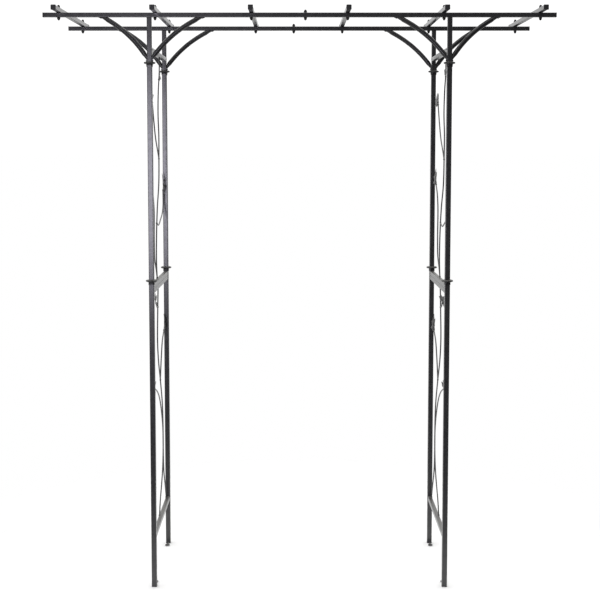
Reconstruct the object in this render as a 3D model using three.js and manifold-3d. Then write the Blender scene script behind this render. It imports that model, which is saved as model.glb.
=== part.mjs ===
// Metal trellis arch: four square-tube posts in three lengths each, a slatted top on two rails,
// curved brackets, and two side trellises of bent wire with pressed leaves.
// Millimetres, +Z up, the front of the arch faces -Y, origin on the ground under the middle of the arch.
import * as THREE from 'three';
import { mergeVertices } from 'three/addons/utils/BufferGeometryUtils.js';
import Module from 'manifold-3d';

// Overall sizes
const HEIGHT = 2130; // ground to the top of the slats
const WIDTH = 1080; // post centre to post centre across the walkway
const DEPTH = 510; // post centre to post centre from the front frame to the rear frame

// Square tubes
const LEG = 19; // lower and middle post sections
const TOP_LEG = 17.5; // top post sections
const BAR = 16.5; // rails, slats and side bars
const WALL = 1;
const FOOT_PLATE = 3; // plate that closes the bottom of each post

// Fits
const GAP = 0.3; // between faces that touch
const FIT = 0.3; // each side of a plug in its tube, and of a tube in its socket
const HOLE_FIT = 0.3; // each side of a bolt in its hole

// Collars at the joints of the posts
const LOWER_JOINT = 1145;
const UPPER_JOINT = 1934;
const COLLAR_DIAMETER = 43;
const COLLAR_THICKNESS = 8; // at the post
const COLLAR_RIM = 3; // thickness of the rim
const SLEEVE_HEIGHT = 10;
const SLEEVE_WALL = 1.2; // at its lower edge
const UPPER_FLARE = 2.5; // how much further the sleeve stands out under the disc
const LOWER_FLARE = 0.8;
const SOCKET_FLOOR = 3;
const PLUG_HEIGHT = 25;

// Roof
const RAIL_LENGTH = 1844;
const SLAT_LENGTH = 714;
const SLAT_COUNT = 6;
const SLAT_PITCH = 346;
const SPLICE = 42; // length of the plug that joins the two halves of a rail
const SPLICE_RING = 3; // thickness of the step between tube and plug

// Curved brackets
const BRACKET_TUBE = 17.5;
const OUTER_REACH = 165; // post centre to where the curve meets the rail, away from the walkway
const INNER_REACH = 184; // the same over the walkway
const BRACKET_RISE = 13; // collar to where the curve meets the post
const BRACKET_BULGE = 15; // how far the curve stands above its chord
const BRACKET_END = 9.5; // thickness of the squeezed tube at its ends
const BRACKET_PINCH = 30; // length over which it goes from squeezed to round
const BRACKET_TAB = 2; // thickness of the flattened ends
const BRACKET_TAB_WIDTH = 14;
const BRACKET_TOP_TAB = 16; // length of the flattened upper end

// Side bars
const LOWER_BAR = 190; // height of its middle
const UPPER_BAR = 1983;
const MIDDLE_BARS_DROP = 10; // collar to the top of the upper middle bar

// Trellis wire and leaves
const WIRE = 5;
const LEAF_LENGTH = 66;
const LEAF_WIDTH = 50;
const LEAF_THICKNESS = 1.6;
const LEAF_STALK = 8; // how far the wire runs onto the leaf

// Fasteners and ground eyes
const RAIL_BOLT = { shank: 5, head: 9, dome: 11 }; // diameters, and the height of head and nut
const BRACKET_BOLT = { shank: 4, head: 7, dome: 2.5 };
const BRACKET_BOLT_RISE = 5; // collar to the middle of the bolt
const EYE_WIRE = 5;
const EYE_RADIUS = 7; // middle of the wire
const EYE_DISTANCE = 42; // post centre to the middle of the eye
const EYE_HEIGHT = 4;

// Heights that follow from the sizes above
const SLAT_Z = HEIGHT - BAR / 2;
const RAIL_Z = SLAT_Z - BAR - GAP;
const RAIL_UNDERSIDE = RAIL_Z - BAR / 2;
const POST_TOP = RAIL_UNDERSIDE - GAP;
const COLLAR_TOP = COLLAR_THICKNESS / 2; // above the joint
const SOCKET_TOP = COLLAR_TOP - SOCKET_FLOOR; // above the joint
const UPPER_MIDDLE_BAR = LOWER_JOINT - MIDDLE_BARS_DROP - COLLAR_TOP - BAR / 2;
const LOWER_MIDDLE_BAR = UPPER_MIDDLE_BAR - BAR - GAP;
const BRACKET_FOOT = UPPER_JOINT + COLLAR_TOP + BRACKET_RISE;
const BRACKET_BOLT_Z = UPPER_JOINT + COLLAR_TOP + BRACKET_BOLT_RISE;

const wasm = await Module();
wasm.setup();

const paint = (color, roughness) => new THREE.MeshStandardMaterial({ color, roughness, metalness: 0.4 });
const POWDER_COAT = paint(0x35353a, 0.5);
const BARE_BLACK = paint(0x1c1c1c, 0.35);

// A three.js geometry as a solid that can be joined and cut.
function solid(geometry) {
  const bare = geometry.clone();
  bare.deleteAttribute('normal');
  bare.deleteAttribute('uv');
  const merged = mergeVertices(bare, 1e-4);
  return new wasm.Manifold(new wasm.Mesh({
    numProp: 3,
    vertProperties: new Float32Array(merged.attributes.position.array),
    triVerts: new Uint32Array(merged.index.array),
  }));
}

// A solid back as a three.js geometry.
function geometryOf(body) {
  const { vertProperties, triVerts } = body.getMesh();
  const geometry = new THREE.BufferGeometry();
  geometry.setAttribute('position', new THREE.BufferAttribute(vertProperties, 3));
  geometry.setIndex(new THREE.BufferAttribute(triVerts, 1));
  geometry.computeVertexNormals();
  return geometry;
}

const box = (x, y, z, at = [0, 0, 0]) => solid(new THREE.BoxGeometry(x, y, z).translate(...at));

// A rod along Z from one height to another.
function rod(radius, from, to, sides = 10) {
  const geometry = new THREE.CylinderGeometry(radius, radius, to - from, sides);
  return solid(geometry.rotateX(Math.PI / 2).translate(0, 0, (from + to) / 2));
}

// A solid turned about Z from [radius, height] pairs that start and end on the axis, lowest first.
function turned(profile, sides) {
  const points = profile.map(([r, z]) => new THREE.Vector2(r, z));
  return solid(new THREE.LatheGeometry(points, sides).rotateX(Math.PI / 2));
}

// A round bar bent along a curve in the XY plane. A function of the distance from its start gives its
// thickness in that plane, as a share of the diameter.
function bent(curve, diameter, steps, sides, thickness = () => 1) {
  const geometry = new THREE.CylinderGeometry(diameter / 2, diameter / 2, 1, sides, steps);
  const length = curve.getLength();
  const position = geometry.attributes.position;
  for (let i = 0; i < position.count; i++) {
    const along = THREE.MathUtils.clamp(position.getY(i) + 0.5, 0, 1);
    const centre = curve.getPointAt(along);
    const tangent = curve.getTangentAt(along);
    const inPlane = position.getX(i) * thickness(along * length);
    position.setX(i, centre.x + tangent.y * inPlane);
    position.setY(i, centre.y - tangent.x * inPlane);
  }
  return solid(geometry);
}

// A square tube along Z, open at both ends, centred on the origin.
const squareTube = (size, length) =>
  box(size, size, length).subtract(box(size - 2 * WALL, size - 2 * WALL, length + 2));

// A bolt along Z that clamps from one height to another, with a domed head above and a domed nut below.
function bolt(from, to, { shank, head, dome }) {
  const r = head / 2;
  const [low, high] = [from - GAP, to + GAP];
  return turned([
    [0, low - dome], [r * 0.6, low - dome], [r, low - dome * 0.6], [r, low], [shank / 2, low],
    [shank / 2, high], [r, high], [r, high + dome * 0.6], [r * 0.6, high + dome], [0, high + dome],
  ], 10);
}

const arch = new THREE.Group();

function add(parent, name, body, material, at = [0, 0, 0]) {
  const mesh = new THREE.Mesh(geometryOf(body), material);
  mesh.name = name;
  mesh.position.set(...at);
  parent.add(mesh);
  return mesh;
}

const CORNERS = [
  { name: 'front_left', x: -1, y: -1 },
  { name: 'front_right', x: 1, y: -1 },
  { name: 'rear_left', x: -1, y: 1 },
  { name: 'rear_right', x: 1, y: 1 },
];

// ---- Posts: three lengths of square tube one above the other, joined at the collars.

const boltHole = ({ shank }, length) => rod(shank / 2 + HOLE_FIT, -length / 2, length / 2);
const alongX = (body) => body.rotate([0, 90, 0]);
const bracketHole = (z) => alongX(boltHole(BRACKET_BOLT, 4 * TOP_LEG)).translate([0, 0, z]);

function lowerPost() {
  const top = LOWER_JOINT + SOCKET_TOP - GAP;
  return squareTube(LEG, top).translate([0, 0, top / 2]).add(
    box(LEG - WALL, LEG - WALL, FOOT_PLATE, [0, 0, FOOT_PLATE / 2]));
}

function middlePost() {
  const from = LOWER_JOINT + COLLAR_TOP + GAP;
  const to = UPPER_JOINT + SOCKET_TOP - GAP;
  return squareTube(LEG, to - from).translate([0, 0, (from + to) / 2]);
}

function topPost() {
  const from = UPPER_JOINT + COLLAR_TOP + GAP;
  const tube = squareTube(TOP_LEG, POST_TOP - from).translate([0, 0, (from + POST_TOP) / 2]);
  return tube.subtract(bracketHole(BRACKET_BOLT_Z));
}

// ---- Collar: a disc with a flared square sleeve below, over the lower tube, and a plug up into the upper tube.

function collar(upperTube, sleeveFlare) {
  const r = COLLAR_DIAMETER / 2;
  const disc = turned([
    [0, -COLLAR_TOP], [r / 2, -COLLAR_TOP], [r, -COLLAR_RIM / 2],
    [r, COLLAR_RIM / 2], [r / 2, COLLAR_TOP], [0, COLLAR_TOP],
  ], 16);
  const socket = LEG / 2 + FIT;
  const edge = socket + SLEEVE_WALL;
  const flare = new THREE.CylinderGeometry(
    (edge + sleeveFlare) * Math.SQRT2, edge * Math.SQRT2, SLEEVE_HEIGHT + 1, 4);
  flare.rotateX(Math.PI / 2).rotateZ(Math.PI / 4);
  flare.translate(0, 0, -COLLAR_TOP + 1 - (SLEEVE_HEIGHT + 1) / 2);
  const plugSize = upperTube - 2 * (WALL + FIT);
  const plug = box(plugSize, plugSize, PLUG_HEIGHT + 1, [0, 0, COLLAR_TOP - 1 + (PLUG_HEIGHT + 1) / 2]);
  const pocket = box(2 * socket, 2 * socket, 2 * SLEEVE_HEIGHT, [0, 0, SOCKET_TOP - SLEEVE_HEIGHT]);
  return disc.add(solid(flare)).add(plug).subtract(pocket);
}

const lowerCollar = () => collar(LEG, LOWER_FLARE);
const upperCollar = () => collar(TOP_LEG, UPPER_FLARE).subtract(bracketHole(BRACKET_BOLT_Z - UPPER_JOINT));

// ---- Ground eye: a wire welded to the foot, bent into a flat ring for a ground peg.

function groundEye() {
  const ring = solid(new THREE.TorusGeometry(EYE_RADIUS, EYE_WIRE / 2, 6, 12));
  const from = LEG / 2 + GAP - EYE_DISTANCE;
  const shank = rod(EYE_WIRE / 2, from, -EYE_RADIUS, 6).rotate([-90, 0, 0]);
  return ring.add(shank).translate([0, EYE_DISTANCE, 0]);
}

// ---- Curved bracket: a round tube that rises from the post to the rail, squeezed at both ends and cut to
// lie against them, with a flat tab at each. It is drawn in the XY plane with the post's middle at x = 0,
// then stood up.

function bracket(reach) {
  const face = TOP_LEG / 2 + GAP;
  const under = RAIL_UNDERSIDE - GAP;
  const start = new THREE.Vector3(face, BRACKET_FOOT, 0);
  const end = new THREE.Vector3(reach, under, 0);
  const chord = end.clone().sub(start);
  const across = new THREE.Vector3(-chord.y, chord.x, 0).normalize();
  const middle = start.clone().lerp(end, 0.5).addScaledVector(across, 2 * BRACKET_BULGE);
  const runOn = (from, to) => to.clone().add(to.clone().sub(from).setLength(BRACKET_END));
  const curve = new THREE.QuadraticBezierCurve3(runOn(middle, start), middle, runOn(middle, end));
  const length = curve.getLength();
  const roundness = (s) => THREE.MathUtils.smoothstep(Math.min(s, length - s), BRACKET_END, BRACKET_PINCH);
  const thickness = (s) => THREE.MathUtils.lerp(BRACKET_END / BRACKET_TUBE, 1, roundness(s));
  const tube = bent(curve, BRACKET_TUBE, 14, 8, thickness);
  const corner = box(2 * reach, under, 2 * BRACKET_TUBE, [face + reach, under / 2, 0]);
  const tabFrom = UPPER_JOINT + COLLAR_TOP + GAP;
  const tabHeight = BRACKET_FOOT - tabFrom;
  const lowTab = box(BRACKET_TAB, tabHeight, BRACKET_TAB_WIDTH,
    [face + BRACKET_TAB / 2, tabFrom + tabHeight / 2, 0]);
  const topTab = box(BRACKET_TOP_TAB, BRACKET_TAB, BRACKET_TAB_WIDTH,
    [reach + BRACKET_TOP_TAB / 2, under - BRACKET_TAB / 2, 0]);
  const tabFace = face + BRACKET_TAB;
  const headRoom = rod(BRACKET_BOLT.head / 2 + GAP, tabFace, tabFace + BRACKET_BOLT.dome + 2 * GAP);
  const dent = alongX(headRoom).translate([0, 0, BRACKET_BOLT_Z]);
  const upright = tube.intersect(corner).add(lowTab).add(topTab).rotate([90, 0, 0]);
  return upright.subtract(bracketHole(BRACKET_BOLT_Z)).subtract(dent);
}

const bracketBolt = () => {
  const half = TOP_LEG / 2 + GAP + BRACKET_TAB;
  return alongX(bolt(-half, half, BRACKET_BOLT));
};

for (const { name, x, y } of CORNERS) {
  const corner = new THREE.Group();
  corner.position.set((x * WIDTH) / 2, (y * DEPTH) / 2, 0);
  arch.add(corner);
  add(corner, `post_lower_${name}`, lowerPost(), POWDER_COAT);
  add(corner, `post_middle_${name}`, middlePost(), POWDER_COAT);
  add(corner, `post_top_${name}`, topPost(), POWDER_COAT);
  add(corner, `collar_lower_${name}`, lowerCollar(), BARE_BLACK, [0, 0, LOWER_JOINT]);
  add(corner, `collar_upper_${name}`, upperCollar(), BARE_BLACK, [0, 0, UPPER_JOINT]);
  add(corner, `bracket_bolt_${name}`, bracketBolt(), BARE_BLACK, [0, 0, BRACKET_BOLT_Z]);
  const eye = add(corner, `ground_eye_${name}`, groundEye(), POWDER_COAT, [0, 0, EYE_HEIGHT]);
  eye.rotation.z = y > 0 ? Math.PI : 0;
  const outward = add(corner, `bracket_outer_${name}`, bracket(OUTER_REACH), POWDER_COAT);
  outward.rotation.z = x > 0 ? 0 : Math.PI;
  const inward = add(corner, `bracket_inner_${name}`, bracket(INNER_REACH), POWDER_COAT);
  inward.rotation.z = x > 0 ? Math.PI : 0;
}

// ---- Rails: two halves each, one with a plug that enters the other, held by a bolt through both.

const alongRail = (length, size, from) => alongX(squareTube(size, length)).translate([from + length / 2, 0, 0]);
const spliceBoltHole = () => boltHole(RAIL_BOLT, 3 * BAR).translate([SPLICE / 2, 0, 0]);

// The half that carries the plug runs from the rail's left end to its middle.
function pluggedHalf() {
  const length = RAIL_LENGTH / 2 - GAP / 2;
  const plugSize = BAR - 2 * (WALL + FIT);
  const bore = plugSize - 2 * WALL;
  const ring = box(SPLICE_RING, BAR - WALL, BAR - WALL, [-GAP / 2 - SPLICE_RING / 2, 0, 0]).subtract(
    box(2 * SPLICE_RING, bore, bore, [-SPLICE_RING / 2, 0, 0]));
  const plug = alongRail(SPLICE + SPLICE_RING, plugSize, -SPLICE_RING);
  return alongRail(length, BAR, -RAIL_LENGTH / 2).add(ring).add(plug).subtract(spliceBoltHole());
}

const openHalf = () =>
  alongRail(RAIL_LENGTH / 2 - GAP / 2, BAR, GAP / 2).subtract(spliceBoltHole());

for (const [place, side] of [['front', -1], ['rear', 1]]) {
  const rail = new THREE.Group();
  rail.position.set(0, (side * DEPTH) / 2, RAIL_Z);
  rail.rotation.z = side > 0 ? Math.PI : 0;
  arch.add(rail);
  const [plugged, open] = side > 0 ? ['right', 'left'] : ['left', 'right'];
  add(rail, `rail_${place}_${plugged}`, pluggedHalf(), POWDER_COAT);
  add(rail, `rail_${place}_${open}`, openHalf(), POWDER_COAT);
  add(rail, `rail_bolt_${place}`, bolt(-BAR / 2, BAR / 2, RAIL_BOLT), BARE_BLACK, [SPLICE / 2, 0, 0]);
}

// ---- Slats: square tubes laid from front to back on the rails.

const alongY = (body) => body.rotate([90, 0, 0]);

for (let i = 0; i < SLAT_COUNT; i++) {
  const x = (i - (SLAT_COUNT - 1) / 2) * SLAT_PITCH;
  add(arch, `slat_${i + 1}`, alongY(squareTube(BAR, SLAT_LENGTH)), POWDER_COAT, [x, 0, SLAT_Z]);
}

// ---- Side bars between the front and the rear post.

const sideBar = (postTube) => alongY(squareTube(BAR, DEPTH - postTube - 2 * GAP));

for (const [side, x] of [['left', -WIDTH / 2], ['right', WIDTH / 2]]) {
  add(arch, `side_bar_lower_${side}`, sideBar(LEG), POWDER_COAT, [x, 0, LOWER_BAR]);
  add(arch, `side_bar_middle_lower_${side}`, sideBar(LEG), POWDER_COAT, [x, 0, LOWER_MIDDLE_BAR]);
  add(arch, `side_bar_middle_upper_${side}`, sideBar(LEG), POWDER_COAT, [x, 0, UPPER_MIDDLE_BAR]);
  add(arch, `side_bar_upper_${side}`, sideBar(TOP_LEG), POWDER_COAT, [x, 0, UPPER_BAR]);
}

// ---- Trellis: wires and leaves in one plane, welded between two side bars, flush with their outer faces.
// Points are [share of the depth from the front post, share of the height between the bars].

const UPPER_TRELLIS = {
  from: UPPER_MIDDLE_BAR + BAR / 2,
  to: UPPER_BAR - BAR / 2,
  stems: [
    [[0.53, -0.02], [0.58, 0.07], [0.56, 0.2], [0.49, 0.32], [0.375, 0.43], [0.35, 0.56],
      [0.345, 0.65], [0.385, 0.74], [0.36, 0.84], [0.28, 0.94], [0.25, 1.02]],
    [[0.35, 0.54], [0.44, 0.58], [0.56, 0.63], [0.66, 0.7], [0.76, 0.79]],
    [[0.53, -0.01], [0.6, 0.04], [0.69, 0.09], [0.715, 0.17], [0.71, 0.31], [0.76, 0.375], [0.85, 0.42]],
    [[0.54, 0.25], [0.42, 0.237], [0.28, 0.257], [0.14, 0.285], [0.08, 0.32], [0.08, 0.39]],
  ],
  leaves: [ // place, and the way the tip points in degrees from straight up towards the rear post
    [0.76, 0.79, 42],
    [0.85, 0.42, 25],
    [0.08, 0.39, 4],
    [0.305, 0.905, -25],
  ],
};

const LOWER_TRELLIS = {
  from: LOWER_BAR + BAR / 2,
  to: LOWER_MIDDLE_BAR - BAR / 2,
  stems: [
    [[0.99, -0.03], [0.9, 0.06], [0.8, 0.15], [0.77, 0.25], [0.77, 0.37], [0.735, 0.46], [0.61, 0.58],
      [0.49, 0.68], [0.44, 0.77], [0.47, 0.89], [0.52, 1.02]],
    [[0.61, 0.58], [0.65, 0.63], [0.7, 0.68], [0.77, 0.735], [0.9, 0.775]],
    [[0.45, -0.02], [0.53, 0.055], [0.63, 0.11], [0.725, 0.175], [0.77, 0.27], [0.76, 0.345],
      [0.7, 0.41], [0.61, 0.473], [0.5, 0.523], [0.36, 0.56], [0.24, 0.58]],
    [[0.485, 0.91], [0.43, 0.915], [0.37, 0.935]],
  ],
  leaves: [
    [0.9, 0.775, 20],
    [0.24, 0.58, -60],
    [0.37, 0.935, -60],
  ],
};

// Half of the leaf's outline from its base to its tip, as shares of half the width and of the length.
const LEAF_EDGE = [[0.1, 0], [0.55, 0.02], [1, 0.24], [0.66, 0.38], [0.82, 0.6], [0.42, 0.7], [0, 1]];

function leaf() {
  const right = LEAF_EDGE.map(([x, y]) => new THREE.Vector2((x * LEAF_WIDTH) / 2, y * LEAF_LENGTH));
  const left = right.slice(0, -1).reverse().map((p) => new THREE.Vector2(-p.x, p.y));
  const shape = new THREE.Shape([...right, ...left]);
  const plate = new THREE.ExtrudeGeometry(shape, { depth: LEAF_THICKNESS, bevelEnabled: false });
  const stalk = rod(WIRE / 2, -1, LEAF_STALK, 6).rotate([-90, 0, 0]);
  return solid(plate.translate(0, 0, -LEAF_THICKNESS / 2)).add(stalk);
}

function trellis({ from, to, stems, leaves }) {
  const height = to - from;
  const place = ([share, rise]) => new THREE.Vector3(share * DEPTH, from + rise * height, 0);
  let body = null;
  for (const stem of stems) {
    const curve = new THREE.CatmullRomCurve3(stem.map(place), false, 'centripetal');
    const wire = bent(curve, WIRE, Math.round(curve.getLength() / (6 * WIRE)), 6);
    body = body ? body.add(wire) : wire;
  }
  for (const [share, rise, angle] of leaves) {
    body = body.add(leaf().rotate([0, 0, -angle]).translate(place([share, rise]).toArray()));
  }
  const opening = box(DEPTH - LEG - 4 * GAP, height - 2 * GAP, 4 * WIRE, [DEPTH / 2, from + height / 2, 0]);
  return body.intersect(opening);
}

const TRELLISES = [
  { name: 'trellis_upper_right', side: 1, turned: false, form: UPPER_TRELLIS },
  { name: 'trellis_upper_left', side: -1, turned: true, form: UPPER_TRELLIS },
  { name: 'trellis_lower_right', side: 1, turned: false, form: LOWER_TRELLIS },
  { name: 'trellis_lower_left', side: -1, turned: false, form: LOWER_TRELLIS },
];

for (const { name, side, turned: reversed, form } of TRELLISES) {
  const panel = new THREE.Group();
  panel.position.set(side * ((WIDTH + BAR - WIRE) / 2), 0, 0);
  panel.rotation.z = reversed ? Math.PI : 0;
  arch.add(panel);
  const mesh = add(panel, name, trellis(form), POWDER_COAT, [0, -DEPTH / 2, 0]);
  const depthwise = new THREE.Vector3(0, 1, 0);
  const upwards = new THREE.Vector3(0, 0, 1);
  const sideways = new THREE.Vector3(1, 0, 0);
  mesh.quaternion.setFromRotationMatrix(new THREE.Matrix4().makeBasis(depthwise, upwards, sideways));
}

export default arch;
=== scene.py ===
"""A metal trellis arch for the garden: four square-tube posts under a slatted top, with curved brackets, and
wire stems with pressed leaves on both sides. X runs across the walkway, -Y is the front, and Z is up."""

import math
import random

import bpy
from mathutils import Matrix, Vector, noise
from mathutils.geometry import interpolate_bezier


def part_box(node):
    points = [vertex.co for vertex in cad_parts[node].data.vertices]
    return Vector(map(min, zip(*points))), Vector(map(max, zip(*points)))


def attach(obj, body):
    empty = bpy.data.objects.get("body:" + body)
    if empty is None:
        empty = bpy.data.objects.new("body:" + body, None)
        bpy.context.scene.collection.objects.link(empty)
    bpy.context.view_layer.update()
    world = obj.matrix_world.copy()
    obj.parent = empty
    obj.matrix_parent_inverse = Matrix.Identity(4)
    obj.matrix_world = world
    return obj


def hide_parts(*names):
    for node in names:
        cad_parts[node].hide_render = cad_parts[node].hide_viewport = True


MM = 0.001  # one millimetre in the frame's metres

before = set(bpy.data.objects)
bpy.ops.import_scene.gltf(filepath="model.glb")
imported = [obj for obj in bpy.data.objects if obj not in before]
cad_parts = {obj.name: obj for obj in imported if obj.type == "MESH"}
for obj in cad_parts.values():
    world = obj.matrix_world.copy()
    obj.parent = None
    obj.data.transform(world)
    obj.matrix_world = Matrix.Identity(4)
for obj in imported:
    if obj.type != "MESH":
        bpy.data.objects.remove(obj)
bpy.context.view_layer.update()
scene = bpy.context.scene


def set_camera():
    """Stands in front of the arch, a little above head height, and looks slightly down."""
    data = bpy.data.cameras.new("camera")
    data.sensor_width = 36
    data.lens = 73.95
    data.shift_x = 0.010
    data.shift_y = -0.085
    camera = bpy.data.objects.new("camera", data)
    camera.location = (-0.020, -4.734, 1.631)
    camera.rotation_euler = (math.radians(90 - 4.71), 0, 0)
    scene.collection.objects.link(camera)
    scene.camera = camera


set_camera()

# ---- Sizes that the frame doesn't hold

TUBE_WALL = 1.0 * MM
TUBE_CORNER = 2.0 * MM  # outer radius of a square tube's corners
TUBE_LIP = 0.25 * MM  # broken edge of a sawn end
FIT = 0.3 * MM  # each side of a plug in its tube, and of a tube in its socket
RAIL_SEAM = 0.6 * MM  # gap that shows between the halves of a rail
SPLICE = 42 * MM  # how far a rail's plug reaches into either half

SLAT_CAP = 18.3 * MM  # across the flats
RAIL_CAP = 17.3 * MM
FOOT_CAP = 19.6 * MM
CAP_DEPTH = 2.4 * MM  # how far a cap stands out of its tube
FOOT_DEPTH = 3.0 * MM

COLLAR_DISC = 9.0 * MM  # thickness at the post
COLLAR_SLEEVE = 10 * MM  # height below the disc
SLEEVE_WALL = 1.2 * MM  # at its lower lip
SLEEVE_CORNER = 2.9 * MM  # outer radius at the lip
SOCKET_CORNER = 1.5 * MM
UPPER_FLARE = 2.5 * MM  # how much further the sleeve stands out under the disc
LOWER_FLARE = 0.8 * MM

BRACKET_TUBE = 17.5 * MM
BRACKET_END = 9.5 * MM  # thickness of the squeezed ends
BRACKET_SPREAD = 17 * MM  # and their width
BRACKET_PINCH = 20.5 * MM  # length over which the tube goes from squeezed to round
BRACKET_BULGE = 15 * MM  # how far the curve stands above its chord
BRACKET_RISE = 13 * MM  # height of the low tab
BRACKET_TOP_TAB = 16 * MM  # length of the tab at the upper end
BRACKET_TAB = 2.0 * MM  # thickness of both tabs
BRACKET_TAB_WIDTH = 14 * MM

WIRE = 5.0 * MM
EYE_RADIUS = 7.0 * MM  # middle of the wire
LEAF_SHEET = 1.4 * MM  # thickness

SHANK = 5.0 * MM  # diameter of a roof bolt
BRACKET_SHANK = 4.0 * MM
CAP_NUT = 10.4 * MM  # across the flats
CAP_NUT_HEIGHT = 10 * MM
WASHER = 12.5 * MM  # diameter
WASHER_THICKNESS = 1.0 * MM
BUTTON_HEAD = 7.0 * MM  # diameter
BUTTON_HEIGHT = 2.5 * MM

# Beads of weld: how big each ball of metal is
BAR_BEAD = 3.6 * MM
BAR_BEAD_STEP = 2.1 * MM
BAR_TACK = 3.4 * MM
EYE_BEAD = 4.4 * MM
BRANCH_BEAD = 7.5 * MM  # where one stem leaves another
BAR_END_BEAD = 9.0 * MM  # where a stem meets a bar
STALK_BEAD = 8.0 * MM  # where a leaf sits on its stem

CORNERS = ("front_left", "front_right", "rear_left", "rear_right")


# ---- Finishes


def hex_colour(code):
    """An sRGB hex code as linear red, green, blue and alpha."""
    shares = [int(code[i : i + 2], 16) / 255 for i in (0, 2, 4)]
    return [*(s / 12.92 if s <= 0.04045 else ((s + 0.055) / 1.055) ** 2.4 for s in shares), 1]


def grain(millimetres):
    """The noise scale for a pattern of that size; object coordinates are metres."""
    return 1 / (millimetres * MM)


def add(tree, kind, inputs=None, **settings):
    """A new node with its settings. Each input named gets a value, or is linked to an output or to a node's
    first output in use."""
    node = tree.nodes.new(kind)
    for name, value in settings.items():
        setattr(node, name, value)
    for name, value in (inputs or {}).items():
        target = next(s for s in node.inputs if s.enabled and name in (s.identifier, s.name))
        if isinstance(value, bpy.types.Node):
            value = next(s for s in value.outputs if s.enabled)
        if isinstance(value, bpy.types.NodeSocket):
            tree.links.new(value, target)
        else:
            target.default_value = value
    return node


def new_tree(name):
    material = bpy.data.materials.new(name)
    material.use_nodes = True
    material.node_tree.nodes.clear()
    return material, material.node_tree


def powder_coat(name, colours, peel, gloss, edge_wear):
    """Polyester powder baked onto metal: a satin skin with a little orange peel. It pools in soft clouds, lies
    thin and pale on edges, and whatever faces the sky is painted lighter in patches: a painted sheen, with some
    dust."""
    material, tree = new_tree(name)
    place = add(tree, "ShaderNodeTexCoord").outputs["Object"]
    shape = add(tree, "ShaderNodeNewGeometry").outputs

    # Clouds a hand's breadth across show where the spray gun passed.
    clouds = add(tree, "ShaderNodeTexNoise", {"Vector": place, "Scale": grain(90), "Detail": 3.0})
    spread = add(tree, "ShaderNodeMapRange", {"Value": clouds, "From Min": 0.3, "From Max": 0.7})
    thick, thin = colours
    pooled = add(tree, "ShaderNodeMix", {
        "Factor": spread, "A": hex_colour(thick), "B": hex_colour(thin),
    }, data_type="RGBA")

    # The coat is thin on edges, and handling burnishes them in patches.
    edge = add(tree, "ShaderNodeMapRange", {
        "Value": shape["Pointiness"], "From Min": 0.53, "From Max": 0.62, "To Max": edge_wear,
    })
    scuffs = add(tree, "ShaderNodeTexNoise", {"Vector": place, "Scale": grain(14), "Detail": 4.0})
    worn = add(tree, "ShaderNodeMath", {"Value": edge, "Value_001": scuffs}, operation="MULTIPLY")
    edged = add(tree, "ShaderNodeMix", {
        "Factor": worn, "A": pooled, "B": hex_colour("737375"),
    }, data_type="RGBA")

    # Faces that look up are painted lighter in patches: a painted sheen on the tops, with some dust.
    facing = add(tree, "ShaderNodeSeparateXYZ", {"Vector": shape["Normal"]})
    upward = add(tree, "ShaderNodeMapRange", {
        "Value": facing.outputs["Z"], "From Min": 0.5, "From Max": 1.0, "To Max": 0.35,
    })
    patches = add(tree, "ShaderNodeTexNoise", {"Vector": place, "Scale": grain(35), "Detail": 5.0})
    dust_and_sheen = add(tree, "ShaderNodeMath", {"Value": upward, "Value_001": patches}, operation="MULTIPLY")
    # The pale grey 9a978e is a painted sheen on upward faces, partly dust.
    colour = add(tree, "ShaderNodeMix", {
        "Factor": dust_and_sheen, "A": edged, "B": hex_colour("9a978e"),
    }, data_type="RGBA")

    # Handling also dulls the skin a little, and the dust under the painted sheen dulls it more.
    satin = add(tree, "ShaderNodeMapRange", {
        "Value": scuffs, "To Min": gloss - 0.04, "To Max": gloss + 0.06,
    })
    rough = add(tree, "ShaderNodeMath", {"Value": satin, "Value_001": dust_and_sheen}, operation="ADD")

    # Real orange peel is about 1 mm across. It is drawn coarser, so that it shows on tubes this slim.
    ripples = add(tree, "ShaderNodeTexNoise", {"Vector": place, "Scale": grain(peel), "Detail": 2.0})
    skin_bumps = add(tree, "ShaderNodeBump", {"Height": ripples, "Strength": 0.09, "Distance": 0.12 * MM})
    coat = add(tree, "ShaderNodeBsdfPrincipled", {
        "Base Color": colour, "Roughness": rough, "Normal": skin_bumps, "IOR": 1.56,
    })
    add(tree, "ShaderNodeOutputMaterial", {"Surface": coat})
    return material


def blackened_steel():
    """Nuts, washers and bolts: zinc plate under a black passivate, which keeps a dull metal sheen."""
    material, tree = new_tree("black passivated steel")
    place = add(tree, "ShaderNodeTexCoord").outputs["Object"]
    stains = add(tree, "ShaderNodeTexNoise", {"Vector": place, "Scale": grain(4), "Detail": 4.0})
    colour = add(tree, "ShaderNodeMix", {
        "Factor": stains, "A": hex_colour("262628"), "B": hex_colour("3c3b3a"),
    }, data_type="RGBA")
    rough = add(tree, "ShaderNodeMapRange", {"Value": stains, "To Min": 0.32, "To Max": 0.5})
    turning = add(tree, "ShaderNodeTexNoise", {"Vector": place, "Scale": grain(0.8), "Detail": 1.0})
    marks = add(tree, "ShaderNodeBump", {"Height": turning, "Strength": 0.2, "Distance": 0.05 * MM})
    metal = add(tree, "ShaderNodeBsdfPrincipled", {
        "Base Color": colour, "Roughness": rough, "Normal": marks, "Metallic": 0.85,
    })
    add(tree, "ShaderNodeOutputMaterial", {"Surface": metal})
    return material


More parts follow.
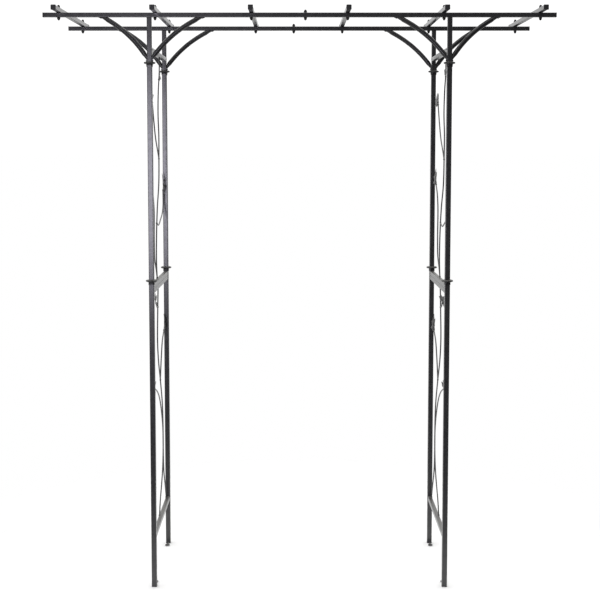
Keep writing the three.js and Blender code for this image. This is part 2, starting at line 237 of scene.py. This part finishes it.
def moulded_polyethylene():
    """End caps: injection-moulded black polyethylene, waxy, with a fine eroded grain."""
    material, tree = new_tree("moulded black polyethylene")
    place = add(tree, "ShaderNodeTexCoord").outputs["Object"]
    bloom = add(tree, "ShaderNodeTexNoise", {"Vector": place, "Scale": grain(12), "Detail": 3.0})
    colour = add(tree, "ShaderNodeMix", {
        "Factor": bloom, "A": hex_colour("161617"), "B": hex_colour("262627"),
    }, data_type="RGBA")
    rough = add(tree, "ShaderNodeMapRange", {"Value": bloom, "To Min": 0.42, "To Max": 0.6})
    eroded = add(tree, "ShaderNodeTexNoise", {"Vector": place, "Scale": grain(0.7), "Detail": 2.0})
    bumps = add(tree, "ShaderNodeBump", {"Height": eroded, "Strength": 0.3, "Distance": 0.05 * MM})
    plastic = add(tree, "ShaderNodeBsdfPrincipled", {
        "Base Color": colour, "Roughness": rough, "Normal": bumps, "IOR": 1.51,
    })
    add(tree, "ShaderNodeOutputMaterial", {"Surface": plastic})
    return material


FINISHES = {
    # Tubes, brackets and their welds: charcoal, between satin and silk
    "powder_coated_steel": powder_coat(
        "charcoal powder coat on tube", ("1f1f20", "2a2a2b"), peel=3, gloss=0.23, edge_wear=0.5),
    # Stems and leaves: the same powder; it wraps thin stock evenly, so no pale edges
    "powder_coated_wire": powder_coat(
        "charcoal powder coat on wire", ("202021", "2b2b2b"), peel=2, gloss=0.25, edge_wear=0.0),
    # Collars: cast zinc in a darker powder, whose skin shows the mould's grain
    "cast_collar": powder_coat(
        "black powder coat on cast zinc", ("161616", "1f1f1f"), peel=1.6, gloss=0.30, edge_wear=0.3),
    "blackened_bolts": blackened_steel(),
    "end_caps": moulded_polyethylene(),
}


# ---- Shaping: a shell is a list of points and a list of faces over them

# Turns that point Z another way
TOWARDS = {
    "up": Matrix.Identity(4),
    "down": Matrix.Rotation(math.radians(180), 4, "X"),
    "right": Matrix.Rotation(math.radians(90), 4, "Y"),
    "left": Matrix.Rotation(math.radians(-90), 4, "Y"),
    "rear": Matrix.Rotation(math.radians(-90), 4, "X"),
    "front": Matrix.Rotation(math.radians(90), 4, "X"),
    "reversed": Matrix.Rotation(math.radians(180), 4, "Z"),  # still up, but facing the other way
}


def circle(radius, height, points=32):
    """Points round Z, anticlockwise from above."""
    turns = [2 * math.pi * i / points for i in range(points)]
    return [Vector((radius * math.cos(a), radius * math.sin(a), height)) for a in turns]


def hexagon(inradius, height, points=36):
    """A circle's points, moved out onto the hexagon round it."""
    sixth = math.pi / 3
    ring = circle(inradius, height, points)
    for i, point in enumerate(ring):
        point.xy /= math.cos((2 * math.pi * i / points + sixth / 2) % sixth - sixth / 2)
    return ring


def rounded_square(size, corner, height, steps=4):
    """Points round a square with round corners. Each flat has a further point near both ends, so that its
    shading stays flat."""
    inset = size / 2 - corner
    margin = min(0.3 * MM, inset / 2)
    outline = [Vector((corner, -margin, 0))]
    for i in range(steps + 1):
        turn = math.pi / 2 * i / steps
        outline.append(Vector((corner * math.cos(turn), corner * math.sin(turn), 0)))
    outline.append(Vector((-margin, corner, 0)))
    centre = Vector((inset, inset, height))
    quarters = [Matrix.Rotation(math.pi / 2 * k, 3, "Z") for k in range(4)]
    return [quarter @ (centre + point) for quarter in quarters for point in outline]


def skin(rings, closed=False):
    """A shell over rings of points, one after the other. A closed one joins its last ring to its first; any
    other ends in flat faces."""
    count = len(rings[0])
    points = [point for ring in rings for point in ring]
    pairs = [(i, i + 1) for i in range(len(rings) - 1)]
    if closed:
        pairs.append((len(rings) - 1, 0))
    faces = []
    for low, high in pairs:
        for i in range(count):
            j = (i + 1) % count
            faces.append((low * count + i, low * count + j, high * count + j, high * count + i))
    if not closed:
        last = (len(rings) - 1) * count
        faces.append(tuple(reversed(range(count))))
        faces.append(tuple(range(last, last + count)))
    return points, faces


def placed(shell, at, towards="up"):
    """The shell with its origin moved to a place and its Z turned."""
    points, faces = shell
    matrix = Matrix.Translation(at) @ TOWARDS[towards]
    return [matrix @ point for point in points], faces


def swept(path, thickness, normal, sides=12, width=None):
    """Rings round a path that lies flat across the normal. The thickness may be a function of the distance from
    the path's start, and so may the width along the normal, where it differs."""
    rings = []
    gone = 0.0
    for i, point in enumerate(path):
        if i:
            gone += (point - path[i - 1]).length
        along = (path[min(i + 1, len(path) - 1)] - path[max(i - 1, 0)]).normalized()
        across = normal.cross(along)
        half = (thickness(gone) if callable(thickness) else thickness) / 2
        side = (width(gone) if width else 2 * half) / 2
        turns = [2 * math.pi * k / sides for k in range(sides)]
        rings.append([point + across * (half * math.cos(a)) + normal * (side * math.sin(a)) for a in turns])
    return rings


def lump(at, size, flatten=(1, 1, 1), sides=10):
    """A bead of weld: a ball a little out of true."""
    rings = []
    levels = sides // 2 + 1
    for i in range(1, levels):
        polar = math.pi * i / levels
        ring = circle(math.sin(polar), -math.cos(polar), sides)
        rings.append([p * (1 + 0.25 * noise.noise(p * 1.3 + at / (3 * MM))) for p in ring])
    half = Vector(flatten) * (size / 2)
    return skin([[point * half + at for point in ring] for ring in rings])


def turned(profile, sides=32):
    """A shell turned about Z from radius and height pairs, lowest first."""
    return skin([circle(radius, height, sides) for radius, height in profile])


def piece(name, slot, shells, replaces=(), sharp=40):
    """One object from its shells, in the slot's finish. It rides on the arch's one body, and stands for the
    nodes named."""
    points, faces = [], []
    for shell_points, shell_faces in shells:
        start = len(points)
        points += shell_points
        faces += [tuple(start + i for i in face) for face in shell_faces]
    mesh = bpy.data.meshes.new(name)
    mesh.from_pydata(points, [], faces)
    mesh.polygons.foreach_set("use_smooth", [True] * len(faces))
    mesh.set_sharp_from_angle(angle=math.radians(sharp))
    mesh.materials.append(FINISHES[slot])
    made = bpy.data.objects.new(name, mesh)
    scene.collection.objects.link(made)
    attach(made, "root")
    if replaces:
        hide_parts(*replaces)
    return made


# ---- Square tubes


def square_tube(size, length):
    """A welded tube along Z from the origin, round at its corners and open at its ends."""
    bore = size - 2 * TUBE_WALL
    lip = TUBE_LIP
    return skin([
        rounded_square(size - 2 * lip, TUBE_CORNER - lip, 0),
        rounded_square(size, TUBE_CORNER, lip),
        rounded_square(size, TUBE_CORNER, length - lip),
        rounded_square(size - 2 * lip, TUBE_CORNER - lip, length),
        rounded_square(bore, TUBE_CORNER - TUBE_WALL, length),
        rounded_square(bore, TUBE_CORNER - TUBE_WALL, 0),
    ], closed=True)


def square_cap(size, depth):
    """A moulded cap along Z from the origin, its outer face slightly crowned."""
    corner = TUBE_CORNER + 0.3 * MM
    levels = [(0.4, 0.0), (0.0, 0.4), (0.0, 0.55), (0.3, 0.8), (1.0, 0.95), (3.0, 1.0)]
    return skin([
        rounded_square(size - 2 * shrink * MM, max(corner - shrink * MM, 0.6 * MM), depth * share)
        for shrink, share in levels
    ])


def plug(size, length):
    """A square bar along Z from the origin that fits inside a tube."""
    inner = size - 2 * (TUBE_WALL + FIT)
    return skin([rounded_square(inner, 0.8 * MM, 0), rounded_square(inner, 0.8 * MM, length)])


def middle(node):
    low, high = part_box(node)
    return (low + high) / 2


def make_posts():
    for corner in CORNERS:
        for part in ("lower", "middle", "top"):
            node = f"post_{part}_{corner}"
            low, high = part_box(node)
            centre = middle(node)
            foot = FOOT_DEPTH if part == "lower" else 0
            start = Vector((centre.x, centre.y, low.z + foot))
            tube = square_tube(high.x - low.x, high.z - start.z)
            piece(f"{node}_tube", "powder_coated_steel", [placed(tube, start)], [node])
            if foot:
                cap = placed(square_cap(FOOT_CAP, FOOT_DEPTH), start, "down")
                piece(f"foot_cap_{corner}", "end_caps", [cap])


def make_rails():
    """Each half ends in a cap outside and meets the other half at the middle; one carries the plug."""
    for place, plugged in (("front", "left"), ("rear", "right")):
        for side, sign in (("left", -1), ("right", 1)):
            node = f"rail_{place}_{side}"
            low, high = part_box(node)
            end = max(abs(low.x), abs(high.x))
            size = high.z - low.z
            centre = middle(node)
            inner = Vector((sign * RAIL_SEAM / 2, centre.y, centre.z))
            outer = Vector((sign * (end - CAP_DEPTH), centre.y, centre.z))
            shells = [placed(square_tube(size, abs(outer.x - inner.x)), inner, side)]
            if side == plugged:
                across = "right" if side == "left" else "left"
                deep_end = inner + Vector((sign * SPLICE, 0, 0))
                shells.append(placed(plug(size, 2 * SPLICE), deep_end, across))
            piece(f"{node}_tube", "powder_coated_steel", shells, [node])
            cap = placed(square_cap(RAIL_CAP, CAP_DEPTH), outer, side)
            piece(f"rail_cap_{place}_{side}", "end_caps", [cap])


def make_slats():
    for node in [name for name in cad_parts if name.startswith("slat_")]:
        low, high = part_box(node)
        centre = middle(node)
        front = Vector((centre.x, low.y + CAP_DEPTH, centre.z))
        rear = Vector((centre.x, high.y - CAP_DEPTH, centre.z))
        tube = square_tube(high.z - low.z, rear.y - front.y)
        piece(f"{node}_tube", "powder_coated_steel", [placed(tube, front, "rear")], [node])
        for place, at in (("front", front), ("rear", rear)):
            cap = placed(square_cap(SLAT_CAP, CAP_DEPTH), at, place)
            piece(f"{node}_cap_{place}", "end_caps", [cap])


def make_side_bars():
    """Welded between the front and the rear post: a run of beads above and below each end, and a tack on
    either side."""
    for node in [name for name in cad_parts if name.startswith("side_bar_")]:
        low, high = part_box(node)
        centre = middle(node)
        size = high.z - low.z
        bar = placed(square_tube(size, high.y - low.y), Vector((centre.x, low.y, centre.z)), "rear")
        beads = []
        for y in (low.y, high.y):
            for face in (-1, 1):
                for step in range(-3, 4):
                    x = centre.x + step * BAR_BEAD_STEP
                    beads.append(lump(Vector((x, y, centre.z + face * size / 2)), BAR_BEAD))
                tack_at = Vector((centre.x + face * size / 2, y, centre.z))
                beads.append(lump(tack_at, BAR_TACK, (1, 1, 2.4)))
        piece(f"{node}_tube", "powder_coated_steel", [bar, *beads], [node])


# ---- Collars


def collar_disc(radius):
    """A lens: full at the rim and pinched towards the post."""
    profile = []
    for i in range(-8, 9):
        lean = math.radians(10 * i)
        profile.append((radius * math.cos(lean) ** 0.4, math.copysign(abs(math.sin(lean)), i)))
    return turned([(r, z * COLLAR_DISC / 2) for r, z in profile], 48)


def collar_sleeve(post, flare):
    """A square socket for the lower tube, from its lip up. It swells and rounds off towards the disc."""
    bore = post + 2 * FIT
    lip = bore + 2 * SLEEVE_WALL
    height = COLLAR_SLEEVE + 2 * MM  # it runs up into the disc
    rings = [rounded_square(lip - 0.6 * MM, 2.6 * MM, 0)]
    for i in range(7):
        share = i / 6
        size = lip + 2 * flare * share**1.8
        corner = SLEEVE_CORNER + share * 0.25 * size
        rings.append(rounded_square(size, corner, 0.3 * MM + share * height))
    rings.append(rounded_square(bore, SOCKET_CORNER, height))
    rings.append(rounded_square(bore, SOCKET_CORNER, 0))
    return skin(rings, closed=True)


def make_collars():
    for corner in CORNERS:
        for level, tube_above, flare in (("lower", "middle", LOWER_FLARE), ("upper", "top", UPPER_FLARE)):
            node = f"collar_{level}_{corner}"
            low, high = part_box(node)
            centre = middle(node)
            lip = Vector((centre.x, centre.y, low.z))
            joint = lip + Vector((0, 0, COLLAR_SLEEVE + COLLAR_DISC / 2))
            below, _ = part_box(f"post_lower_{corner}")
            above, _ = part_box(f"post_{tube_above}_{corner}")
            disc = placed(collar_disc((high.x - low.x) / 2), joint)
            sleeve = placed(collar_sleeve(2 * (centre.x - below.x), flare), lip)
            spigot = placed(plug(2 * (centre.x - above.x), high.z - joint.z), joint)
            piece(f"{node}_casting", "cast_collar", [disc, sleeve, spigot], [node])


# ---- Bolts


def cap_nut():
    """A domed nut along Z from the origin: a chamfered hexagon with a dome on it."""
    flat = CAP_NUT / 2
    shoulder = 0.5 * CAP_NUT_HEIGHT
    dome_height = CAP_NUT_HEIGHT - shoulder
    dome_radius = 0.86 * flat
    rings = [
        circle(flat, 0, 36),
        hexagon(flat, 0.5 * MM),
        hexagon(flat, shoulder - 0.6 * MM),
        circle(flat, shoulder - 0.1 * MM, 36),
        circle(dome_radius, shoulder, 36),
    ]
    for i in range(1, 8):
        lean = math.radians(11 * i)
        height = shoulder + dome_height * math.sin(lean)
        rings.append(circle(dome_radius * math.cos(lean) ** 0.65, height, 36))
    return skin(rings)


def washer():
    r, t, edge = WASHER / 2, WASHER_THICKNESS, 0.2 * MM
    return turned([(r - edge, 0), (r, edge), (r, t - edge), (r - edge, t)])


def button_head():
    """A low round head along Z from the origin."""
    r, h = BUTTON_HEAD / 2, BUTTON_HEIGHT
    leans = [math.radians(15 * i) for i in range(6)]
    return turned([(r, 0)] + [(r * math.cos(a), 0.25 * h + 0.75 * h * math.sin(a)) for a in leans])


def through_bolt(at_x, at_y, low, high):
    """A bolt down through the roof, with a washer and a domed nut at both ends. The nuts are turned as they
    came to rest."""
    shells = [placed(turned([(SHANK / 2, 0), (SHANK / 2, high - low)]), Vector((at_x, at_y, low)))]
    for z, towards, sign in ((high, "up", 1), (low, "down", -1)):
        turn = Matrix.Rotation(random.uniform(0, math.pi / 3), 3, "Z")
        points, faces = cap_nut()
        nut = ([turn @ point for point in points], faces)
        shells.append(placed(washer(), Vector((at_x, at_y, z)), towards))
        shells.append(placed(nut, Vector((at_x, at_y, z + sign * WASHER_THICKNESS)), towards))
    return shells


def make_roof_bolts():
    for place in ("front", "rear"):
        rail_low, rail_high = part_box(f"rail_{place}_left")
        y = middle(f"rail_{place}_left").y
        for node in [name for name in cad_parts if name.startswith("slat_")]:
            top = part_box(node)[1].z
            shells = through_bolt(middle(node).x, y, rail_low.z, top)
            piece(f"{node}_bolt_{place}", "blackened_bolts", shells)
        node = f"rail_bolt_{place}"
        shells = through_bolt(middle(node).x, y, rail_low.z, rail_high.z)
        piece(f"{node}_set", "blackened_bolts", shells, [node])


# ---- Curved brackets


def rounded_tab(length, width, thickness):
    """A flat end along Z from the origin, round at its far corners, with its thickness along X."""
    corner = 0.35 * width
    outline = [(-width / 2, 0.0)]
    for side, start in ((-1, 180), (1, 90)):
        for i in range(5):
            turn = math.radians(start - 22.5 * i)
            across = side * (width / 2 - corner) + corner * math.cos(turn)
            outline.append((across, length - corner + corner * math.sin(turn)))
    outline.append((width / 2, 0.0))
    return skin([[Vector((x, y, z)) for y, z in outline] for x in (thickness, 0)])


def bracket_tube(face, foot, reach, under):
    """A tube curved over its chord, from the post's face to the rail's underside. Its ends are squeezed, and
    cut flush with both."""
    start = Vector((face, 0, foot))
    end = Vector((reach, 0, under))
    over = Vector((foot - under, 0, reach - face)).normalized()
    control = start.lerp(end, 0.5) + over * (2 * BRACKET_BULGE)
    curve = interpolate_bezier(start, start.lerp(control, 2 / 3), end.lerp(control, 2 / 3), end, 60)
    clear = BRACKET_END  # no ring so near an end that the cut would cross it
    path = [p for p in curve if min((p - start).length, (p - end).length) > clear]
    length = sum((b - a).length for a, b in zip(curve, curve[1:]))

    def between(squeezed, gone):
        share = min(1, min(gone, length - gone) / BRACKET_PINCH)
        return squeezed + (BRACKET_TUBE - squeezed) * share * share * (3 - 2 * share)

    rings = swept(
        [start, *path, end], lambda gone: between(BRACKET_END, gone), Vector((0, 1, 0)), 24,
        lambda gone: between(BRACKET_SPREAD, gone))
    leaving = path[0] - start
    arriving = end - path[-1]
    rings[0] = [p + leaving * ((face - p.x) / leaving.x) for p in rings[0]]
    rings[-1] = [p + arriving * ((under - p.z) / arriving.z) for p in rings[-1]]
    return skin(rings)


def make_brackets():
    """Two at each post, one outwards and one over the walkway. They are drawn to the right of the post, and
    turned round where they go left."""
    for corner in CORNERS:
        post = middle(f"post_top_{corner}")
        for kind in ("outer", "inner"):
            node = f"bracket_{kind}_{corner}"
            low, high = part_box(node)
            way = "up" if low.x > post.x else "reversed"
            face, far = sorted((abs(low.x - post.x), abs(high.x - post.x)))
            reach = far - BRACKET_TOP_TAB
            foot = low.z + BRACKET_RISE
            low_tab = rounded_tab(BRACKET_RISE, BRACKET_TAB_WIDTH, BRACKET_TAB)
            top_tab = rounded_tab(BRACKET_TOP_TAB, BRACKET_TAB_WIDTH, BRACKET_TAB)
            shells = [
                bracket_tube(face, foot, reach, high.z),
                placed(low_tab, Vector((face, 0, foot)), "down"),
                placed(top_tab, Vector((reach, 0, high.z)), "right"),
            ]
            at = Vector((post.x, post.y, 0))
            piece(f"{node}_tube", "powder_coated_steel", [placed(s, at, way) for s in shells], [node])
            screw_at = Vector((reach + BRACKET_TOP_TAB / 2, 0, high.z - BRACKET_TAB))
            screw = placed(placed(button_head(), screw_at, "down"), at, way)
            piece(f"bracket_screw_{kind}_{corner}", "blackened_bolts", [screw])
        node = f"bracket_bolt_{corner}"
        bolt = middle(node)
        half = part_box(node)[1].x - bolt.x - BUTTON_HEIGHT
        shank = turned([(BRACKET_SHANK / 2, -half), (BRACKET_SHANK / 2, half)])
        shells = [
            placed(button_head(), bolt + Vector((half, 0, 0)), "right"),
            placed(button_head(), bolt - Vector((half, 0, 0)), "left"),
            placed(shank, bolt, "right"),
        ]
        piece(f"{node}_set", "blackened_bolts", shells, [node])


# ---- Bent wire


def smooth_path(points, step):
    """Points at about that step on a centripetal Catmull-Rom curve through the given ones."""
    run = [2 * points[0] - points[1], *points, 2 * points[-1] - points[-2]]
    path = [points[0]]
    for before, a, b, after in zip(run, run[1:], run[2:], run[3:]):
        span = math.sqrt((b - a).length)
        gap_before = math.sqrt((a - before).length)
        gap_after = math.sqrt((after - b).length)
        leave = b - a + ((a - before) / gap_before - (b - before) / (gap_before + span)) * span
        arrive = b - a + ((after - b) / gap_after - (after - a) / (gap_after + span)) * span
        count = max(2, math.ceil((b - a).length / step)) + 1
        path += interpolate_bezier(a, a + leave / 3, b - arrive / 3, b, count)[1:]
    return path


def make_ground_eyes():
    """One wire each: straight in from the foot, then bent round into a ring that closes on its own neck."""
    for corner in CORNERS:
        node = f"ground_eye_{corner}"
        low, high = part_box(node)
        post = middle(f"post_lower_{corner}")
        start, far = sorted((abs(low.y - post.y), abs(high.y - post.y)))
        centre = far - WIRE / 2 - EYE_RADIUS
        bends = [math.radians(-55 + 31 * i) for i in range(11)]
        ring = [Vector((EYE_RADIUS * math.cos(a), centre + EYE_RADIUS * math.sin(a), 0)) for a in bends]
        neck = centre - 1.7 * EYE_RADIUS
        path = smooth_path([Vector((0, start - MM, 0)), Vector((0, neck, 0)), *ring], 1 * MM)
        wire = skin(swept(path, WIRE, Vector((0, 0, 1)), 14))
        shells = [wire]
        for side in (-1, 1):
            weld_at = Vector((side * EYE_BEAD / 2, start, 0.4 * MM))
            shells.append(lump(weld_at, EYE_BEAD, (1, 0.8, 1)))
        at = Vector((post.x, post.y, (low.z + high.z) / 2))
        way = "up" if low.y > post.y else "reversed"
        piece(f"{node}_wire", "powder_coated_wire", [placed(s, at, way) for s in shells], [node])


# ---- Trellises

# A stem's points are the share of the way from the near post to the far one, and the share of the height
# between the bars. A leaf has its place, the way its tip points in degrees from straight up towards the far
# post, and how many degrees it is bent round to face the front.

UPPER_STEMS = (
    ((0.53, -0.02), (0.58, 0.07), (0.56, 0.2), (0.49, 0.32), (0.375, 0.43), (0.35, 0.56),
     (0.345, 0.65), (0.385, 0.74), (0.36, 0.84), (0.28, 0.94), (0.25, 1.02)),
    ((0.35, 0.54), (0.44, 0.58), (0.56, 0.63), (0.66, 0.7), (0.76, 0.79)),
    ((0.53, -0.01), (0.6, 0.04), (0.69, 0.09), (0.715, 0.17), (0.71, 0.31), (0.76, 0.375), (0.85, 0.42)),
    ((0.54, 0.25), (0.42, 0.237), (0.28, 0.257), (0.14, 0.285), (0.08, 0.32), (0.08, 0.39)),
)
UPPER_LEAVES = ((0.76, 0.79, 42, 12), (0.85, 0.42, 25, 8), (0.08, 0.39, 4, 8), (0.305, 0.905, -25, 0))

LOWER_STEMS = (
    ((0.99, -0.03), (0.9, 0.06), (0.8, 0.15), (0.77, 0.25), (0.77, 0.37), (0.735, 0.46), (0.61, 0.58),
     (0.49, 0.68), (0.44, 0.77), (0.47, 0.89), (0.52, 1.02)),
    ((0.61, 0.58), (0.65, 0.63), (0.7, 0.68), (0.77, 0.735), (0.9, 0.775)),
    ((0.45, -0.02), (0.53, 0.055), (0.63, 0.11), (0.725, 0.175), (0.77, 0.27), (0.76, 0.345),
     (0.7, 0.41), (0.61, 0.473), (0.5, 0.523), (0.36, 0.56), (0.24, 0.58)),
    ((0.485, 0.91), (0.43, 0.915), (0.37, 0.935)),
)
LOWER_LEAVES = ((0.9, 0.775, 20, 12), (0.24, 0.58, -60, 10), (0.37, 0.935, -60, 22))

BENT = {"left": 0.2, "right": 1}  # share of its bend that a leaf on each side got

# A leaf's edge, from its tip round to its stalk: degrees, and millimetres from a point low on its midrib.
# Lobes and the hollows between them take turns.
LEAF_EDGE = ((0, 46), (24, 25), (45, 31), (72, 17), (101.25, 27), (128, 19), (146.25, 24), (180, 15))
LEAF_TIP = LEAF_EDGE[0][1] * MM
LEAF_VEINS = [degrees for degrees, _ in LEAF_EDGE[::2]]
LEAF_MIDDLE = 20 * MM  # from the base to the point that the edge is measured from
LEAF_SIDES = 96
LEAF_FOLD = 0.16  # rise of the blade for each step away from the midrib
LEAF_CURL = 3.5 * MM  # how far the tip bends back
LEAF_WAVE = 1.2 * MM  # and how far the edge waves
LEAF_VEIN = 0.8 * MM  # how deep the veins are pressed
STALK = 14 * MM  # how far the wire runs onto the leaf


def leaf_radius(degrees):
    """The lobes run to points, and the hollows between them are round."""
    for (a, at_a), (b, at_b) in zip(LEAF_EDGE, LEAF_EDGE[1:]):
        if a <= degrees <= b:
            share = (degrees - a) / (b - a)
            climb = share if at_b > at_a else 1 - share
            teeth = 1 + 0.03 * math.cos(math.radians(degrees) * LEAF_SIDES / 4)
            return (min(at_a, at_b) + abs(at_b - at_a) * climb**1.6) * teeth * MM


def leaf_ring(share, side):
    """One ring of the front or back of the sheet. The leaf is folded along its midrib, its tip curls back, its
    edge waves, and its veins are pressed in."""
    ring = []
    for i in range(LEAF_SIDES):
        degrees = 360 * i / LEAF_SIDES
        turn = math.radians(degrees)
        from_tip = min(degrees, 360 - degrees)
        out = share * leaf_radius(from_tip)
        x = -out * math.sin(turn)
        y = out * math.cos(turn)
        fold = LEAF_FOLD * (math.hypot(x, 3 * MM) - 3 * MM)
        curl = -LEAF_CURL * (max(0, y) / LEAF_TIP) ** 2
        wave = LEAF_WAVE * share**2 * math.sin(3 * turn + 1)
        vein = LEAF_VEIN * (1 - share**3) if from_tip in LEAF_VEINS else 0
        ring.append(Vector((x, LEAF_MIDDLE + y, fold + curl + wave + vein + side * LEAF_SHEET / 2)))
    return ring


def leaf():
    """A pressed leaf in the XY plane, its stalk's end at the origin and its tip along Y."""
    shares = (0.06, 0.22, 0.4, 0.6, 0.8, 0.93, 1.0)
    back = [leaf_ring(share, -1) for share in shares]
    front = [leaf_ring(share, 1) for share in reversed(shares)]
    return skin(back + front)


def leaf_and_stalk(base, tip_way, face_way):
    """A leaf on the end of its stem, whose wire thins out along the midrib."""
    points, faces = leaf()
    pose = Matrix((tip_way.cross(face_way), tip_way, face_way)).transposed()
    blade = ([pose @ point + base for point in points], faces)
    path = [base + tip_way * (STALK * (0.2 * i - 0.4)) for i in range(8)]
    stalk = skin(swept(path, lambda gone: WIRE * (1 - 0.4 * gone / STALK), face_way, 10))
    return [blade, stalk, lump(base, STALK_BEAD)]


def trellis_shells(x, bars, posts, stems, leaves, inward, bent):
    """Wires in the plane at x, welded to the bars and to each other, with a leaf at each tip."""
    low, high = bars
    near, far = posts

    def place(share, rise):
        return Vector((x, near + share * (far - near), low + rise * (high - low)))

    shells = []
    sideways = Vector((1, 0, 0))
    for stem in stems:
        path = smooth_path([place(*point) for point in stem], 4 * MM)
        kept = [p for p in path if low - WIRE < p.z < high + WIRE]
        shells.append(skin(swept(kept, WIRE, sideways, 12)))
        if low < path[0].z < high:
            shells.append(lump(path[0], BRANCH_BEAD))
        for level in (low, high):
            crossing = min(path, key=lambda p: abs(p.z - level))
            if abs(crossing.z - level) < WIRE:
                shells.append(lump(Vector((x, crossing.y, level)), BAR_END_BEAD, (1, 1.2, 0.8)))
    for share, rise, degrees, twist in leaves:
        turn = math.radians(degrees)
        rearward = math.copysign(1, far - near)
        tip_way = Vector((0, rearward * math.sin(turn), math.cos(turn)))
        face_way = Matrix.Rotation(math.radians(twist * bent), 3, tip_way) @ Vector((inward, 0, 0))
        shells += leaf_and_stalk(place(share, rise), tip_way, face_way)
    return shells


def make_trellises():
    """The upper left panel is the upper right one turned round; the lower two face the same way."""
    front, rear = middle("post_lower_front_left").y, middle("post_lower_rear_left").y
    for level, stems, leaves, bar_below, bar_above in (
        ("upper", UPPER_STEMS, UPPER_LEAVES, "middle_upper", "upper"),
        ("lower", LOWER_STEMS, LOWER_LEAVES, "lower", "middle_lower"),
    ):
        for side, inward in (("left", 1), ("right", -1)):
            node = f"trellis_{level}_{side}"
            _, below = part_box(f"side_bar_{bar_below}_{side}")
            above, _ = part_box(f"side_bar_{bar_above}_{side}")
            bars = (below.z, above.z)
            posts = (rear, front) if (level, side) == ("upper", "left") else (front, rear)
            low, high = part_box(node)
            x = low.x + WIRE / 2 if side == "left" else high.x - WIRE / 2
            shells = trellis_shells(x, bars, posts, stems, leaves, inward, BENT[side])
            piece(f"{node}_panel", "powder_coated_wire", shells, [node])


# ---- Floor and light

FLOOR_RADIUS = 1.8  # metres, as are the next two
FLOOR_FADES_FROM = 0.6
FLOOR_FADES_TO = 1.7

# How bright the studio is: in front on the right, behind on the left, and what is added overhead
FRONT_LEVEL = 0.04
BACK_LEVEL = 1.1
OVERHEAD_LEVEL = 1.1
GROUND_SHARE = 0.6  # how much of the first two is left below the horizon
BACK_WAY = (-0.35, 0.94, 0)  # where the studio is brightest


def pale_floor():
    """Matt pale studio floor, which fades out into the white round it."""
    material, tree = new_tree("matt pale floor")
    place = add(tree, "ShaderNodeTexCoord").outputs["Object"]
    away = add(tree, "ShaderNodeVectorMath", {"Vector": place}, operation="LENGTH")
    fade = add(tree, "ShaderNodeMapRange", {
        "Value": away.outputs["Value"], "From Min": FLOOR_FADES_FROM, "From Max": FLOOR_FADES_TO,
    }, interpolation_type="SMOOTHSTEP")
    mottle = add(tree, "ShaderNodeTexNoise", {"Vector": place, "Scale": grain(400), "Detail": 3.0})
    colour = add(tree, "ShaderNodeMix", {
        "Factor": mottle, "A": hex_colour("f0f0ef"), "B": hex_colour("f6f6f5"),
    }, data_type="RGBA")
    matt = add(tree, "ShaderNodeBsdfDiffuse", {"Color": colour})
    clear = add(tree, "ShaderNodeBsdfTransparent")
    mixed = add(tree, "ShaderNodeMixShader", {"Fac": fade, "Shader": matt, "Shader_001": clear})
    add(tree, "ShaderNodeOutputMaterial", {"Surface": mixed})
    mesh = bpy.data.meshes.new("floor")
    rim = circle(FLOOR_RADIUS, 0, 96)
    mesh.from_pydata(rim, [], [tuple(range(len(rim)))])
    mesh.materials.append(material)
    floor = bpy.data.objects.new("floor", mesh)
    scene.collection.objects.link(floor)


def softbox():
    """A tall soft light in front on the left. It puts the cool sheen on the upper half of the left posts, and
    stops short of the rails."""
    data = bpy.data.lights.new("softbox", "AREA")
    data.shape = "RECTANGLE"
    data.size = 0.8
    data.size_y = 1.36
    data.energy = 46
    data.color = hex_colour("f2efff")[:3]
    light = bpy.data.objects.new("softbox", data)
    light.location = (-1.1, -4.75, 1.40)
    aim = Vector((-0.54, 0, 1.45))
    light.rotation_euler = (aim - light.location).to_track_quat("-Z", "Y").to_euler()
    light.visible_camera = False
    scene.collection.objects.link(light)


def white_surround():
    """A white studio. The eye sees white all round. The light it gives fades from behind the arch to the front
    right, is weaker below the horizon, and has more added overhead."""
    world = bpy.data.worlds.new("white studio")
    scene.world = world
    world.use_nodes = True
    tree = world.node_tree
    tree.nodes.clear()
    way = add(tree, "ShaderNodeTexCoord").outputs["Generated"]
    backward = add(tree, "ShaderNodeVectorMath", {
        "Vector": way, "Vector_001": BACK_WAY,
    }, operation="DOT_PRODUCT")
    wall = add(tree, "ShaderNodeMapRange", {
        "Value": backward.outputs["Value"], "From Min": -1.0, "From Max": 0.6,
        "To Min": FRONT_LEVEL, "To Max": BACK_LEVEL,
    })
    height = add(tree, "ShaderNodeSeparateXYZ", {"Vector": way}).outputs["Z"]
    ceiling = add(tree, "ShaderNodeMapRange", {
        "Value": height, "From Min": 0.4, "From Max": 0.95, "To Max": OVERHEAD_LEVEL,
    })
    ground = add(tree, "ShaderNodeMapRange", {
        "Value": height, "From Min": -0.2, "From Max": 0.05, "To Min": GROUND_SHARE,
    })
    walls = add(tree, "ShaderNodeMath", {"Value": wall, "Value_001": ground}, operation="MULTIPLY")
    lit = add(tree, "ShaderNodeMath", {"Value": walls, "Value_001": ceiling}, operation="ADD")
    eye = add(tree, "ShaderNodeLightPath").outputs["Is Camera Ray"]
    level = add(tree, "ShaderNodeMath", {"Value": lit, "Value_001": eye}, operation="MAXIMUM")
    white = add(tree, "ShaderNodeBackground", {"Color": hex_colour("ffffff"), "Strength": level})
    add(tree, "ShaderNodeOutputWorld", {"Surface": white})


random.seed(7)
make_posts()
make_rails()
make_slats()
make_side_bars()
make_collars()
make_roof_bolts()
make_brackets()
make_ground_eyes()
make_trellises()
pale_floor()
white_surround()
softbox()
scene.view_settings.view_transform = "Standard"
